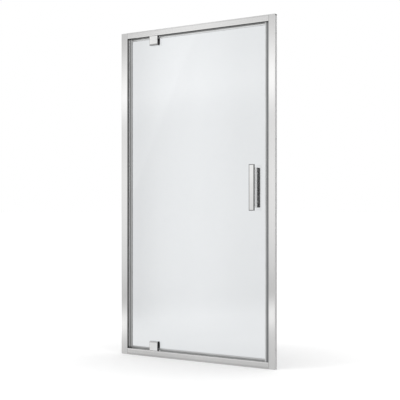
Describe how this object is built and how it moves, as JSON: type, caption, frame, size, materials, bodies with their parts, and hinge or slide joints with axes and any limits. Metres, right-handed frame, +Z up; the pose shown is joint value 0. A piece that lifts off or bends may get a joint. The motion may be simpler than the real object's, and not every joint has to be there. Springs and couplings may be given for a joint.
{
  "type": "pivot shower door",
  "caption": "Framed pivot shower door for a niche: one glass leaf on pivot blocks set in from its hinge edge, with a pull handle and magnetic seal.",
  "frame": {"origin": "middle of the sill's underside, in the middle of the frame's depth", "axes": "+Z up, +X from the hinge jamb to the strike jamb, +Y into the shower"},
  "size_m": [1, 0.0835, 1.85],
  "materials": {
    "frame_aluminium": "bright silver anodised, satin",
    "channel_aluminium": "mill finish",
    "polished_chrome": "polished",
    "handle_aluminium": "bright silver anodised, satin",
    "stainless_steel": "brushed",
    "safety_glass": "clear, polished edges",
    "clear_seal": "translucent soft vinyl",
    "grey_seal": "soft grey vinyl",
    "magnet_strip": "matt flexible magnet",
    "clear_gasket": "translucent soft vinyl",
    "grey_plastic": "fine matt",
    "bearing_plastic": "smooth"
  },
  "bodies": {
    "frame": {"hinge_jamb": "frame_aluminium", "strike_jamb": "frame_aluminium", "hinge_wall_channel": "channel_aluminium", "strike_wall_channel": "channel_aluminium", "hinge_jamb_cap": "grey_plastic", "strike_jamb_cap": "grey_plastic", "corner_screws": "stainless_steel", "channel_screws": "stainless_steel", "channel_screw_covers": "grey_plastic", "sill_rail": "frame_aluminium", "sill_pivot_insert": "channel_aluminium", "sill_pivot_bush": "bearing_plastic", "sill_insert_screws": "stainless_steel", "head_rail": "frame_aluminium", "head_pivot_insert": "channel_aluminium", "head_pivot_bush": "bearing_plastic", "head_insert_screws": "stainless_steel", "hinge_jamb_seal": "grey_seal", "strike_jamb_seal": "grey_seal", "strike_jamb_magnet": "magnet_strip"},
    "door": {"lower_pivot_pin": "stainless_steel", "upper_pivot_pin": "stainless_steel", "lower_clamp_screws": "stainless_steel", "upper_clamp_screws": "stainless_steel", "handle_plate_screws": "stainless_steel", "handle_studs": "stainless_steel", "handle_grub_screws": "stainless_steel", "handle_sleeves": "bearing_plastic", "hinge_edge_seal": "clear_seal", "strike_edge_seal": "clear_seal", "bottom_seal_hinge_side": "clear_seal", "bottom_seal_handle_side": "clear_seal", "top_seal_hinge_side": "clear_seal", "top_seal_handle_side": "clear_seal", "strike_edge_magnet": "magnet_strip", "glass_pane": "safety_glass", "lower_pivot_block": "polished_chrome", "upper_pivot_block": "polished_chrome", "lower_pivot_inner_plate": "polished_chrome", "upper_pivot_inner_plate": "polished_chrome", "handle_outside_plate": "polished_chrome", "handle_inside_plate": "polished_chrome", "handle_inside_web": "polished_chrome", "handle_outside_web": "handle_aluminium", "lower_pivot_outer_gasket": "clear_gasket", "lower_pivot_inner_gasket": "clear_gasket", "upper_pivot_outer_gasket": "clear_gasket", "upper_pivot_inner_gasket": "clear_gasket", "handle_outside_gasket": "clear_gasket", "handle_inside_gasket": "clear_gasket"}
  },
  "joints": [
    {"name": "door_hinge", "type": "hinge", "parent": "frame", "child": "door", "pos_m": [-0.267, 0.0015, 0], "axis": [0, 0, -1], "range_deg": [0, 90]}
  ]
}
